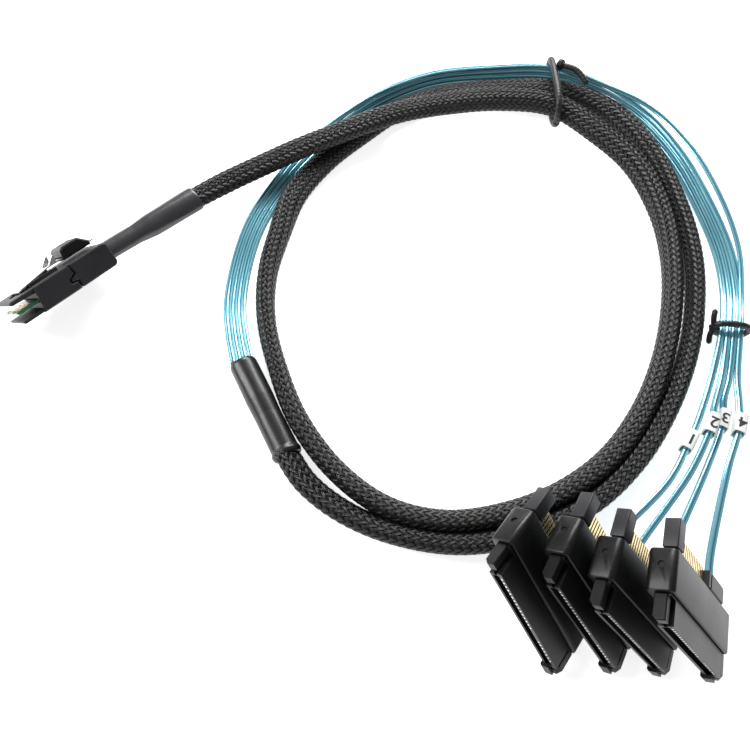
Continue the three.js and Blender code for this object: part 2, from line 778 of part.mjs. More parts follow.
const plug = new THREE.Group();
plug.add(piece('plug_front_shell', plugFrontShell(), blackHousing()));
plug.add(piece('plug_rear_shell', plugRearShell(), blackHousing()));
plug.add(piece('plug_paddle_card', paddleCard(), boardGreen()));
plug.add(piece('latch_strip', latchStrip(), springSteel()));
plug.add(piece('latch_thumb_block', latchThumb(), blackMoulding()));
placeOnFloor(plug, plugPlace.x, plugPlace.y, plugPlace.pitch, plugPlace.roll, plugPlace.heading);

const sleevePoints = sleeveRoute.map(([x, y, z]) => new THREE.Vector3(x, y, z));
const sleeveCurve = new FlatRoute(sleevePoints, sleeveRoute.map((point) => point[3]));
cable.add(piece('braided_sleeve',
  flatCord(sleeveCurve, sleeveWidth, sleeveThickness, sleeveSides, sleeveSteps), braidBlack()));

const plugRear = plug.localToWorld(new THREE.Vector3(0, -endGap, plugThickness / 2));
const sleeveStart = sleevePoints[0];
const bootEnd = sleeveStart.clone().addScaledVector(sleeveCurve.getTangent(0), -endGap);
cable.add(piece('plug_boot', shrinkTube(plugRear, bootEnd, [
  [0, bootNeck],
  [bootStep - 0.06, bootNeck + 0.2],
  [bootStep + 0.06, bootWide - 0.2],
  [0.93, bootWide],
  [1, bootWide - 0.3],
], 0.8), shrinkBlack()));

const sleeveEnd = sleevePoints[sleevePoints.length - 1];
const breakoutStart = sleeveEnd.clone().addScaledVector(sleeveCurve.getTangent(1), endGap);
const bundlePoints = bundleRoute.map(([x, y, z]) => new THREE.Vector3(x, y, z));
const bundleOut = bundlePoints[1].clone().sub(bundlePoints[0]).normalize();
const breakoutEnd = bundlePoints[0].clone().addScaledVector(bundleOut, -endGap);
cable.add(piece('breakout_shrink', shrinkTube(breakoutStart, breakoutEnd, [
  [0, breakoutNarrow - 0.2],
  [0.05, breakoutNarrow],
  [0.45, breakoutNarrow],
  [0.6, breakoutRadius],
  [0.97, breakoutRadius],
  [1, breakoutRadius - 0.3],
], 0.86), shrinkBlack()));

function exitPoints(group) {
  const face = new THREE.Vector3(exitOffset, -exitReach, (exitBase + exitTop) / 2);
  return [6, seatGap].map((distance) => {
    const point = group.localToWorld(face.clone().add(new THREE.Vector3(0, -distance, 0)));
    return [point.x, point.y, point.z, 0];
  });
}

connectors.forEach((group, i) => {
  const column = i - (connectors.length - 1) / 2;
  const tail = [...pairTails[i], ...exitPoints(group)];
  [-0.5, 0.5].forEach((layer, k) => {
    const rolls = [...bundleRoute, ...tail].map((point) => point[3]);
    const run = [
      ...lane(bundleRoute, column * lanePitch, layer * layerPitch),
      ...lane(tail, 0, layer * layerPitch),
    ];
    const name = `wire_${i + 1}_${k === 0 ? 'a' : 'b'}`;
    const curve = new FlatRoute(run, rolls);
    cable.add(piece(name, flatCord(curve, wireWidth, wireThickness, wireSides, wireSteps), wireBlue()));
  });
  cable.add(piece(`flag_${i + 1}`, wireFlag(tail), flagWhite()));
});

function wireFlag(tail) {
  const flagIndex = flagPointCount - 1;
  const [x, y, z, roll] = tail[flagIndex];
  const ahead = new THREE.Vector3(...tail[flagIndex + 1]);
  const behind = new THREE.Vector3(...tail[flagIndex - 1]);
  const { tangent, across, over } = sectionAxes(ahead.sub(behind), roll);
  const holeWidth = wireWidth + 2 * flagClearance;
  const holeHeight = layerPitch + wireThickness + 2 * flagClearance;
  const wrap = (width, height, length) => toSolid(new THREE.BoxGeometry(width, height, length));
  const sleeve = wrap(holeWidth + 2 * flagWall, holeHeight + 2 * flagWall, flagLength)
    .subtract(wrap(holeWidth, holeHeight, flagLength + 2));
  const geometry = toGeometry(sleeve);
  geometry.applyMatrix4(new THREE.Matrix4().makeBasis(across, over, tangent));
  geometry.translate(x, y, z);
  return geometry;
}

// The big tie: a loop across the strands at one X, its points in Y and Z, its knot and its tail
const bigTieX = 83.8;
const bigTieLoop = [
  [130.0, 5.4], [132.6, 3.0], [138.6, 1.8], [147.1, 1.45], [153.0, 1.45], [157.0, 2.6], [159.2, 6.8],
  [158.7, 11.2], [154.0, 12.6], [147.0, 13.2], [139.6, 13.4], [133.4, 12.2], [130.6, 9.0],
].map(([y, z]) => new THREE.Vector3(bigTieX, y, z));
const bigKnot = new THREE.Vector3(86.7, 153.8, 12.9);
const bigTail = [bigKnot, new THREE.Vector3(92.3, 150.4, 13.2), new THREE.Vector3(96.6, 144.8, 11.2)];
cable.add(piece('big_tie', tie(bigTieRadius, bigTieLoop, [bigTail], bigKnot, 2.1), tieBlack()));

// The small tie: a loop across the bundle, level with its last point, leaning with its wires
const smallTieCentre = new THREE.Vector3(130.2, 37.2, 4.3);
const smallTieAcross = new THREE.Vector3(0.99, -0.14, 0);
const smallTieLoop = [
  [-5.6, 0], [-4.6, -2.2], [-2, -3.1], [2, -3.1], [4.6, -2.2], [5.6, 0],
  [4.6, 2.2], [2, 3.1], [-2, 3.1], [-4.6, 2.2],
].map(([side, height]) => smallTieCentre.clone()
  .addScaledVector(smallTieAcross, side)
  .add(new THREE.Vector3(0, 0, height)));
const smallKnot = smallTieCentre.clone().addScaledVector(smallTieAcross, -5.2);
const smallEnds = [
  [smallKnot, new THREE.Vector3(124.6, 40.0, 6.2), new THREE.Vector3(124.8, 42.4, 8.4)],
  [smallKnot, new THREE.Vector3(123.6, 35.8, 3.4), new THREE.Vector3(123.1, 33.0, 2.0)],
];
cable.add(piece('small_tie', tie(smallTieRadius, smallTieLoop, smallEnds, smallKnot, 1.6), tieBlack()));

export default cable;
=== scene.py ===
# Breakout cable: the looks of the host plug, the braided sleeve, the flat blue wires and the four
# drive connectors. Metres, in the same frame as the solids.
import math

import bmesh
import bpy
import numpy as np
from mathutils import Matrix, Vector


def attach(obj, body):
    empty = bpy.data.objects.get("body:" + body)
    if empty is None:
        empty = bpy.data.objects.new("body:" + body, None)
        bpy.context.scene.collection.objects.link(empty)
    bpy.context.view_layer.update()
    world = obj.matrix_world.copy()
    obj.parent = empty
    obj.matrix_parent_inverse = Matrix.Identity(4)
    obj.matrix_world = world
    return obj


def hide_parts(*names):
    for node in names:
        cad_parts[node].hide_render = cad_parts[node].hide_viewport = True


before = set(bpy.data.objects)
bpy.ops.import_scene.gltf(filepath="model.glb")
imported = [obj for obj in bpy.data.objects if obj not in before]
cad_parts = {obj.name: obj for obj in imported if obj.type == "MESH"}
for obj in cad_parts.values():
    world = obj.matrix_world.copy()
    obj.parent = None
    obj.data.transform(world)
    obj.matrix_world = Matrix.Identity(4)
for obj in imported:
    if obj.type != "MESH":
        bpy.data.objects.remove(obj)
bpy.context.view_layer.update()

MM = 0.001
UP = np.array([0.0, 0.0, 1.0])

# Braided sleeve: a core and two layers of strands
SLEEVE_WIDTH = 9 * MM
SLEEVE_THICKNESS = 6 * MM
CORE_INSET = 0.62 * MM
CORE_STEP = 1.2 * MM
CORE_SIDES = 20
WEAVE_INSET = 0.35 * MM
WEAVE_STEP = 0.8 * MM
WEAVE_TURN = 40 * MM
STRANDS_EACH_WAY = 16
STRAND_WIDTH = 1.16 * MM
STRAND_THICKNESS = 0.34 * MM
STRAND_RISE = 0.25 * MM
CORD_PATH_STEP = 2 * MM

# Shrink tubes
TUBE_SIDES = 48
TUBE_STEP = 0.3 * MM

# The boot and the breakout tube: each station is a share of the length and a radius in millimetres
BOOT_STATIONS = [(0.0, 3.6), (0.34, 3.7), (0.5, 4.45), (0.9, 4.72), (0.985, 4.72), (1.0, 4.5)]
BOOT_SQUASH = 0.8
BOOT_FOLDS = 0.012
BOOT_REAR = Vector((0.0, -0.4, 4.15)) * MM
BOOT_OVER_SLEEVE = 1.8 * MM
BREAKOUT_STATIONS = [
    (0.0, 4.35), (0.03, 4.7), (0.07, 4.25), (0.42, 4.2), (0.6, 4.42), (0.97, 4.4), (1.0, 4.1),
]
BREAKOUT_SQUASH = 0.86
BREAKOUT_FOLDS = 0.007
BREAKOUT_OVER_SLEEVE = 1.6 * MM

# Flat wires: the section of one, and how the eight lie in their bundle
WIRE_WIDTH = 1.8 * MM
WIRE_THICKNESS = 1.05 * MM
WIRE_STEP = 0.9 * MM
WIRE_SIDES = 16
GROOVE_DEPTH = 0.34
GROOVE_WIDTH = 0.24 * MM
LANE_PITCH = 1.9 * MM
LAYER_PITCH = 1.3 * MM
LOOSE_WIRE_SWING = 3.4 * MM

# Drive connector, in its own frame
CONTACT_PITCH = 1.27 * MM
POWER_CONTACTS = 15
SIGNAL_CONTACTS = 7
GROUP_GAP = 5.4 * MM
FIRST_CONTACT = 14.83 * MM
FIRST_BLADE = 16.115 * MM
CONTACT_BACK = 14.95 * MM
CONTACT_HEIGHT = 5.2 * MM
CONTACT_BAR = Vector((0.5, 5.0, 0.4)) * MM
CONTACT_TIP = Vector((0.5, 1.9, 0.5)) * MM
CONTACT_TIP_PLACE = Vector((0.0, 1.5, -0.1)) * MM
BLADE_BACK = -2.62 * MM
BLADE_HEIGHT = 5.28 * MM
BLADE_BAR = Vector((0.76, 4.66, 0.36)) * MM
BLADE_TIP = Vector((0.5, 1.2, 0.2)) * MM
BLADE_TIP_PLACE = Vector((0.0, -1.6, 0.1)) * MM
EXIT_FACE = Vector((-9.6, -4.9, 4.4)) * MM
EXIT_TAIL_GAPS = (6.0 * MM, 0.3 * MM)

# Edge contacts of the plug's card, in the plug's own frame
FINGER_COUNT = 20
FINGER_PITCH = 0.8 * MM
FIRST_FINGER = -7.6 * MM
FINGER_BACK = 32.0 * MM
FINGER_HEIGHTS = {"upper": 4.43 * MM, "lower": 3.37 * MM}
FINGER_BAR = Vector((0.5, 4.2, 0.06)) * MM
FINGER_TIP = Vector((0.42, 0.9, 0.07)) * MM
FINGER_TIP_PLACE = Vector((0.0, -1.4, 0.0)) * MM

# How each piece lies: pitch, roll and heading in degrees
CONNECTOR_LIES = [
    (8.6, -47.0, 141.8),
    (6.9, -48.5, 149.2),
    (1.8, -49.6, 156.5),
    (3.6, -51.7, 162.7),
]
PLUG_LIE = (6.1, 42.1, 138.9)

# The middle of each connector's wide face and of the plug's under face: in the piece, and as it lies
CONNECTOR_MARK = Vector((2.0, 5.4, 7.0)) * MM
CONNECTOR_SPOTS = [
    (58.526, -47.285, 21.709),
    (71.531, -47.977, 21.927),
    (82.090, -50.784, 21.840),
    (94.669, -52.656, 22.309),
]
PLUG_MARK = Vector((0.0, 22.0, 0.0)) * MM
PLUG_SPOT = (-90.880, 45.015, 9.111)

# Route of the braided sleeve: x, y, z and the turn of its flat section, in degrees
SLEEVE_ROUTE = [
    (-0.0513, 0.0881, 0.0088, -10),
    (-0.0402, 0.0962, 0.0090, 0),
    (-0.0274, 0.1042, 0.0094, 0),
    (-0.0146, 0.1119, 0.0098, 0),
    (-0.0024, 0.1185, 0.0099, 0),
    (0.0111, 0.1260, 0.0096, 5),
    (0.0253, 0.1327, 0.0090, 10),
    (0.0422, 0.1373, 0.0085, 20),
    (0.0625, 0.1394, 0.0086, 28),
    (0.0832, 0.1368, 0.0080, 28),
    (0.0985, 0.1246, 0.0062, 25),
    (0.1105, 0.1100, 0.0048, 35),
    (0.1165, 0.0876, 0.0043, 60),
    (0.1161, 0.0643, 0.0045, 75),
    (0.1123, 0.0447, 0.0045, 75),
    (0.1056, 0.0253, 0.0045, 70),
    (0.0966, 0.0082, 0.0043, 60),
    (0.0844, -0.0070, 0.0043, 50),
    (0.0692, -0.0179, 0.0043, 50),
    (0.0517, -0.0247, 0.0043, 50),
    (0.0338, -0.0270, 0.0043, 50),
    (0.0171, -0.0229, 0.0043, 50),
    (0.0027, -0.0122, 0.0044, 55),
    (-0.0094, 0.0041, 0.0046, 60),
    (-0.0169, 0.0219, 0.0046, 75),
    (-0.0220, 0.0406, 0.0046, 80),
    (-0.0229, 0.0588, 0.0045, 75),
    (-0.0201, 0.0762, 0.0043, 60),
    (-0.0157, 0.0952, 0.0033, 20),
    (-0.0053, 0.1121, 0.0032, 10),
    (0.0081, 0.1263, 0.0031, 5),
    (0.0234, 0.1397, 0.0031, 0),
    (0.0421, 0.1484, 0.0031, 0),
    (0.0642, 0.1502, 0.0042, 0),
    (0.0847, 0.1478, 0.0059, 5),
    (0.1041, 0.1390, 0.0046, 25),
    (0.1170, 0.1174, 0.0044, 65),
    (0.1230, 0.0901, 0.0046, 85),
    (0.1237, 0.0671, 0.0046, 85),
    (0.1203, 0.0465, 0.0046, 85),
    (0.1139, 0.0272, 0.0046, 80),
    (0.1037, 0.0079, 0.0045, 70),
    (0.0910, -0.0089, 0.0043, 60),
    (0.0757, -0.0218, 0.0040, 50),
    (0.0559, -0.0305, 0.0040, 50),
    (0.0377, -0.0333, 0.0040, 50),
    (0.0199, -0.0306, 0.0040, 50),
    (0.0049, -0.0242, 0.0039, 45),
    (-0.0063, -0.0156, 0.0044, 45),
    (-0.0130, -0.0060, 0.0048, 45),
]

# Route of the bundle of eight wires, from the breakout to the small tie
BUNDLE_ROUTE = [
    (-0.0283, 0.0241, 0.0052, 0),
    (-0.0310, 0.0342, 0.0038, 0),
    (-0.0334, 0.0481, 0.0022, 0),
    (-0.0327, 0.0662, 0.0014, 0),
    (-0.0293, 0.0829, 0.0017, 5),
    (-0.0227, 0.0987, 0.0017, 5),
    (-0.0136, 0.1153, 0.0020, 10),
    (0.0002, 0.1299, 0.0032, 30),
    (0.0165, 0.1440, 0.0042, 60),
    (0.0370, 0.1550, 0.0042, 78),
    (0.0611, 0.1575, 0.0050, 76),
    (0.0851, 0.1548, 0.0069, 65),
    (0.1035, 0.1476, 0.0050, 55),
    (0.1178, 0.1352, 0.0034, 35),
    (0.1281, 0.1144, 0.0030, 25),
    (0.1336, 0.0920, 0.0027, 20),
    (0.1363, 0.0706, 0.0024, 15),
    (0.1348, 0.0518, 0.0027, 10),
    (0.1301, 0.0360, 0.0041, 5),
]
LOOSE_FROM = 12
LOOSE_TO = 17

# Routes of the four pairs, from the small tie to the connectors' wire exits
PAIR_TAILS = [
    [(0.1206, 0.0205, 0.0045, 0), (0.1123, 0.0044, 0.0062, 0),
     (0.1072, -0.0038, 0.0072, 0), (0.0971, -0.0178, 0.0095, 0)],
    [(0.1229, 0.0192, 0.0054, 0), (0.1165, 0.0068, 0.0084, 0),
     (0.1132, 0.0000, 0.0109, 0), (0.1042, -0.0144, 0.0110, 0)],
    [(0.1252, 0.0186, 0.0047, 0), (0.1213, 0.0106, 0.0058, 0),
     (0.1194, 0.0036, 0.0060, 0), (0.1097, -0.0125, 0.0098, 0)],
    [(0.1277, 0.0182, 0.0049, 0), (0.1255, 0.0094, 0.0064, 0),
     (0.1229, 0.0010, 0.0082, 0), (0.1147, -0.0141, 0.0108, 0)],
]
FLAG_STATION = 2
FLAG_HALF_WIDTH = 1.8 * MM
FLAG_HALF_HEIGHT = 2.05 * MM
FLAG_HALF_LENGTH = 3.5 * MM
FLAG_WALL = 0.35 * MM
NUMBER_SIZE = 5.4 * MM
INK_RISE = 0.02 * MM

# The big tie: its loop in Y and Z at one X, its knot and its tail
BIG_TIE_X = 0.0838
BIG_TIE_LOOP = [
    (0.1300, 0.0054), (0.1326, 0.0030), (0.1386, 0.0018), (0.1471, 0.00145), (0.1530, 0.00145),
    (0.1570, 0.0026), (0.1592, 0.0068), (0.1587, 0.0112), (0.1540, 0.0126), (0.1470, 0.0132),
    (0.1396, 0.0134), (0.1334, 0.0122), (0.1306, 0.0090),
]
BIG_KNOT = (0.0867, 0.1538, 0.0129)
BIG_TAIL = [BIG_KNOT, (0.0923, 0.1504, 0.0132), (0.0966, 0.1448, 0.0112)]

BIG_TIE_RADIUS = 1.3 * MM
TIE_STEP = 0.5 * MM
TIE_SIDES = 14

# The small tie: its loop across and above the bundle, its knot and its two ends
SMALL_TIE_CENTRE = np.array([0.1302, 0.0372, 0.0043])
SMALL_TIE_ACROSS = np.array([0.99, -0.14, 0.0])
SMALL_TIE_LOOP = [
    (-0.0056, 0.0), (-0.0046, -0.0022), (-0.0020, -0.0031), (0.0020, -0.0031), (0.0046, -0.0022),
    (0.0056, 0.0), (0.0046, 0.0022), (0.0020, 0.0031), (-0.0020, 0.0031), (-0.0046, 0.0022),
]
SMALL_KNOT = SMALL_TIE_CENTRE - 0.0052 * SMALL_TIE_ACROSS
SMALL_ENDS = [
    [SMALL_KNOT, (0.1246, 0.0400, 0.0062), (0.1248, 0.0424, 0.0084)],
    [SMALL_KNOT, (0.1236, 0.0358, 0.0034), (0.1231, 0.0330, 0.0020)],
]
SMALL_TIE_RADIUS = 1.05 * MM

# The turns of a knot: how far each leans, in radians, the points round it, and what keeps its side
# from vanishing if it stands upright
KNOT_LEAN = 0.5
KNOT_POINTS = 10
OFF_UPRIGHT = 0.01

# Camera fitted to the photo
CAMERA_LENS = 34.608
CAMERA_SENSOR = 36.0
CAMERA_PLACE = (0.0138, -0.0869, 0.2058)
CAMERA_TILT = 28.0
NEAREST_SEEN = 0.01

# Light: each softbox has a place, a target, a size and a power in watts
SKY_STRENGTH = 0.22
SOFTBOXES = {
    "back softbox": ((0.1, 0.75, 0.5), (0.02, 0.05, 0.0), (0.7, 0.3), 9.0),
    "left softbox": ((-0.6, 0.15, 0.45), (0.0, 0.05, 0.0), (0.3, 0.4), 4.0),
}
FLOOR_REACH = 3.0


# Camera
def place_camera():
    data = bpy.data.cameras.new("camera")
    data.lens = CAMERA_LENS
    data.sensor_width = CAMERA_SENSOR
    data.clip_start = NEAREST_SEEN
    camera = bpy.data.objects.new("camera", data)
    camera.location = CAMERA_PLACE
    camera.rotation_euler = (math.radians(CAMERA_TILT), 0.0, 0.0)
    bpy.context.scene.collection.objects.link(camera)
    bpy.context.scene.camera = camera


place_camera()


# Materials
class Value:
    """One socket of a material, which takes part in sums."""

    def __init__(self, material, socket):
        self.material = material
        self.socket = socket

    def sum(self, operation, other, flipped=False):
        pair = (other, self) if flipped else (self, other)
        return self.material.node("ShaderNodeMath", {"operation": operation}, {0: pair[0], 1: pair[1]})

    def __add__(self, other):
        return self.sum("ADD", other)

    __radd__ = __add__

    def __sub__(self, other):
        return self.sum("SUBTRACT", other)

    def __rsub__(self, other):
        return self.sum("SUBTRACT", other, flipped=True)

    def __mul__(self, other):
        return self.sum("MULTIPLY", other)

    __rmul__ = __mul__

    def __pow__(self, other):
        return self.sum("POWER", other)

    def __rpow__(self, other):
        return self.sum("POWER", other, flipped=True)

    def wave(self, turns):
        angle = self * (2 * math.pi * turns)
        return self.material.node("ShaderNodeMath", {"operation": "SINE"}, {0: angle})

    def size(self):
        return self.material.node("ShaderNodeMath", {"operation": "ABSOLUTE"}, {0: self})


class Finish:
    """A material being made, with its Principled shader ready for its sockets."""

    def __init__(self, name):
        self.material = bpy.data.materials.new(name)
        self.material.use_nodes = True
        self.tree = self.material.node_tree
        self.shader = next(n for n in self.tree.nodes if n.type == "BSDF_PRINCIPLED")

    def node(self, kind, settings=None, sockets=None, output=0):
        made = self.tree.nodes.new(kind)
        for key, value in (settings or {}).items():
            if key == "stops":
                self.set_stops(made.color_ramp, value)
            else:
                setattr(made, key, value)
        for key, value in (sockets or {}).items():
            self.feed(made.inputs[key], value)
        return Value(self, made.outputs[output])

    def set_stops(self, ramp, stops):
        while len(ramp.elements) < len(stops):
            ramp.elements.new(1.0)
        for element, (place, colour) in zip(ramp.elements, stops):
            element.position = place
            element.color = (*colour, 1.0)

    def feed(self, socket, value):
        if isinstance(value, Value):
            self.tree.links.new(value.socket, socket)
        else:
            socket.default_value = value

    def set(self, **sockets):
        for key, value in sockets.items():
            self.feed(self.shader.inputs[key.replace("_", " ")], value)

    def place(self):
        return self.node("ShaderNodeTexCoord", output=3)

    def along_and_around(self):
        uv = self.node("ShaderNodeTexCoord", output=2)
        parts = self.node("ShaderNodeSeparateXYZ", None, {0: uv})
        return parts, Value(self, parts.socket.node.outputs[1])

    def grain(self, vector, scale, detail=2.0, stretch=None):
        if stretch is not None:
            vector = self.node("ShaderNodeMapping", None, {"Vector": vector, "Scale": stretch})
        sockets = {"Vector": vector, "Scale": scale, "Detail": detail}
        return self.node("ShaderNodeTexNoise", None, sockets)

    def ramp(self, value, stops):
        return self.node("ShaderNodeValToRGB", {"stops": stops}, {"Fac": value})

    def mix(self, share, first, second):
        sockets = {"Factor": share, 6: first, 7: second}
        return self.node("ShaderNodeMix", {"data_type": "RGBA"}, sockets, output=2)

    def bump(self, height, distance, strength=1.0, under=None):
        sockets = {"Height": height, "Distance": distance, "Strength": strength}
        if under is not None:
            sockets["Normal"] = under
        return self.node("ShaderNodeBump", None, sockets)


def colour(red, green, blue):
    return (red, green, blue, 1.0)


def moulded_plastic(name, dark, light, roughness, grain_size, grain_depth, coat=0.0, gloss=0.35):
    """Black moulding: fine surface grain, a slow cloud in the shine, and light scuffs."""
    look = Finish(name)
    place = look.place()
    cloud = look.grain(place, 90.0, 3.0)
    fine = look.grain(place, 1.0 / grain_size, 2.0)
    scuff = look.grain(place, 700.0, 4.0, stretch=(1.0, 7.0, 2.0))
    marks = look.ramp(scuff, [(0.58, (0, 0, 0)), (0.74, (1, 1, 1))])
    marks = look.node("ShaderNodeRGBToBW", None, {0: marks})
    tone = look.mix(cloud * 0.6 + fine * 0.4, dark, light)
    base = look.mix(marks * 0.35, tone, colour(0.040, 0.039, 0.041))
    normal = look.bump(fine, grain_depth, 0.7)
    shine = cloud * 0.12 + fine * 0.1 + marks * 0.12 + (roughness - 0.11)
    look.set(Base_Color=base, Roughness=shine, Normal=normal)
    look.set(Coat_Weight=coat, Coat_Roughness=0.12, Specular_IOR_Level=gloss)
    return look.material


def gold_plate():
    look = Finish("gold plate")
    place = look.place()
    worn = look.grain(place, 1500.0, 3.0)
    tone = look.mix(worn, colour(0.86, 0.66, 0.30), colour(1.0, 0.86, 0.56))
    look.set(Base_Color=tone, Roughness=worn * 0.2 + 0.14, Metallic=1.0)
    look.set(Normal=look.bump(worn, 0.00002, 0.3))
    return look.material


def tinned_contact():
    look = Finish("tinned contact")
    place = look.place()
    worn = look.grain(place, 1500.0, 3.0)
    tone = look.mix(worn, colour(0.75, 0.75, 0.75), colour(0.92, 0.91, 0.89))
    look.set(Base_Color=tone, Roughness=worn * 0.25 + 0.22, Metallic=1.0)
    return look.material


def spring_steel():
    look = Finish("spring steel")
    place = look.place()
    brushed = look.grain(place, 500.0, 4.0, stretch=(1.0, 1.0, 12.0))
    tone = look.mix(brushed, colour(0.62, 0.62, 0.63), colour(0.86, 0.86, 0.87))
    look.set(Base_Color=tone, Roughness=brushed * 0.22 + 0.1, Metallic=1.0)
    look.set(Normal=look.bump(brushed, 0.00002, 0.4))
    return look.material


def board_green():
    look = Finish("board green")
    place = look.place()
    fibre = look.grain(place, 2600.0, 3.0)
    tracks = look.grain(place, 500.0, 0.0, stretch=(1.0, 6.0, 1.0))
    tone = look.mix(tracks * 0.7 + fibre * 0.3, colour(0.02, 0.11, 0.05), colour(0.07, 0.27, 0.12))
    look.set(Base_Color=tone, Roughness=fibre * 0.2 + 0.25)
    look.set(Normal=look.bump(tracks, 0.00003, 0.4), Coat_Weight=0.3)
    return look.material


def braid_strand():
    """Woven black monofilament strand: painted highlight along each monofilament, painted shade in the
    lines between.
    """
    look = Finish("braid strand")
    _, around = look.along_and_around()
    thread_ridges_and_painted_light = around.wave(9.0)
    drift = look.grain(look.place(), 330.0, 3.0)
    tint = look.grain(look.place(), 60.0, 2.0)
    dark = look.mix(tint, colour(0.003, 0.003, 0.004), colour(0.006, 0.005, 0.004))
    light = look.mix(tint, colour(0.024, 0.023, 0.026), colour(0.040, 0.035, 0.031))
    # Tone: random drift, plus a painted highlight on each monofilament's crown and painted shade between
    # them
    tone = look.mix(thread_ridges_and_painted_light * 0.25 + drift * 0.8 - 0.15, dark, light)
    look.set(Base_Color=tone, Roughness=drift * 0.22 + 0.2)
    look.set(Normal=look.bump(thread_ridges_and_painted_light, 0.00004, 0.8))
    return look.material


def braid_core():
    look = Finish("braid core")
    _, around = look.along_and_around()
    lines = around.wave(40.0)
    cloud = look.grain(look.place(), 400.0, 2.0)
    tone = look.mix(cloud, colour(0.004, 0.004, 0.005), colour(0.012, 0.011, 0.012))
    look.set(Base_Color=tone, Roughness=cloud * 0.2 + 0.55)
    look.set(Normal=look.bump(lines, 0.00005, 0.5))
    return look.material


def shrink_skin(name, dark, light, roughness, wrinkle, coat):
    """Heat-shrunk tube: soft lengthwise creases over a fine orange peel, with painted shade in the creases.
    """
    look = Finish(name)
    place = look.place()
    along, around = look.along_and_around()
    streak = look.node("ShaderNodeCombineXYZ", None, {0: along * 30.0, 1: around * 7.0})
    crease = look.grain(streak, 1.0, 3.0)
    peel = look.grain(place, 1300.0, 2.0)
    cloud = look.grain(place, 160.0, 2.0)
    # The tone follows the crease bump and is darker in its hollows: painted shade in the creases, over a
    # random cloud
    tone = look.mix(cloud * 0.6 + crease * 0.4, dark, light)
    normal = look.bump(peel, 0.00003, 0.5, look.bump(crease, wrinkle, 0.8))
    look.set(Base_Color=tone, Roughness=peel * 0.14 + cloud * 0.1 + (roughness - 0.12))
    look.set(Normal=normal, Coat_Weight=coat, Coat_Roughness=0.2)
    return look.material


def wire_film():
    """Blue film over two conductors, paler over each and deep blue in the groove and at the edges: partly
    painted light.
    """
    look = Finish("wire film")
    along, around = look.along_and_around()
    # Paler over each conductor: partly the conductor under the film, partly a painted highlight
    conductors_and_painted_light = around.wave(2.0).size() ** 0.8
    streak = look.node("ShaderNodeCombineXYZ", None, {0: along * 60.0, 1: around * 9.0})
    foil = look.grain(streak, 1.0, 3.0)
    deep = look.mix(foil, colour(0.002, 0.024, 0.07), colour(0.005, 0.09, 0.20))
    pale = look.mix(foil, colour(0.10, 0.56, 0.78), colour(0.52, 0.95, 1.0))
    # Deep blue in the groove and at the edges: partly bare film, partly painted shade
    tone = look.mix(conductors_and_painted_light, deep, pale)
    look.set(Base_Color=tone, Roughness=foil * 0.12 + 0.12, Metallic=conductors_and_painted_light * 0.35 + 0.3)
    look.set(Normal=look.bump(foil, 0.00004, 0.5), Coat_Weight=0.8, Coat_Roughness=0.06)
    return look.material


def flag_sleeve():
    look = Finish("flag sleeve")
    place = look.place()
    peel = look.grain(place, 1500.0, 2.0)
    cloud = look.grain(place, 250.0, 2.0)
    tone = look.mix(cloud, colour(0.80, 0.80, 0.78), colour(0.90, 0.90, 0.89))
    look.set(Base_Color=tone, Roughness=peel * 0.2 + 0.4, Normal=look.bump(peel, 0.00002, 0.4))
    return look.material


def printed_ink():
    look = Finish("printed ink")
    speck = look.grain(look.place(), 2500.0, 3.0)
    tone = look.mix(speck, colour(0.008, 0.008, 0.009), colour(0.05, 0.05, 0.055))
    look.set(Base_Color=tone, Roughness=speck * 0.2 + 0.5)
    return look.material


def tie_skin():
    look = Finish("tie skin")
    along, around = look.along_and_around()
    twist = (along * 700.0 + around).wave(1.0)
    cloud = look.grain(look.place(), 500.0, 3.0)
    tone = look.mix(cloud, colour(0.010, 0.010, 0.011), colour(0.035, 0.034, 0.036))
    look.set(Base_Color=tone, Roughness=cloud * 0.2 + 0.3, Normal=look.bump(twist + cloud, 0.00005, 0.6))
    return look.material


def pale_floor():
    look = Finish("pale floor")
    cloud = look.grain(look.place(), 4.0, 2.0)
    tone = look.mix(cloud, colour(0.93, 0.93, 0.93), colour(0.96, 0.96, 0.96))
    look.set(Base_Color=tone, Roughness=0.7, Emission_Color=colour(1.0, 1.0, 1.0))
    look.set(Emission_Strength=0.8, Specular_IOR_Level=0.1)
    return look.material


BLACK = colour(0.003, 0.003, 0.0035)
SOOT = colour(0.008, 0.008, 0.009)
CHARCOAL = colour(0.020, 0.019, 0.022)
SLATE = colour(0.040, 0.039, 0.044)
block_finish = moulded_plastic("block moulding", BLACK, SOOT, 0.38, 0.5 * MM, 0.02 * MM, 0.08)
housing_finish = moulded_plastic("receptacle housing", BLACK, SOOT, 0.36, 0.35 * MM, 0.03 * MM)
port_finish = moulded_plastic("port plastic", CHARCOAL, SLATE, 0.4, 0.35 * MM, 0.03 * MM)
exit_finish = moulded_plastic("wire exit moulding", BLACK, SOOT, 0.34, 0.4 * MM, 0.03 * MM)
plug_finish = moulded_plastic("plug shell", SOOT, SLATE, 0.5, 0.18 * MM, 0.09 * MM)
thumb_finish = moulded_plastic("thumb moulding", BLACK, SOOT, 0.42, 0.2 * MM, 0.04 * MM)
gold_finish = gold_plate()
contact_finish = tinned_contact()
steel_finish = spring_steel()
board_finish = board_green()
strand_finish = braid_strand()
core_finish = braid_core()
boot_finish = shrink_skin("boot shrink", colour(0.030, 0.029, 0.032), colour(0.060, 0.058, 0.064),
                          0.34, 0.00025, 0.4)
breakout_finish = shrink_skin("breakout shrink", colour(0.004, 0.004, 0.005),
                              colour(0.012, 0.012, 0.013), 0.36, 0.00012, 0.15)
film_finish = wire_film()
flag_finish = flag_sleeve()
ink_finish = printed_ink()
tie_finish = tie_skin()


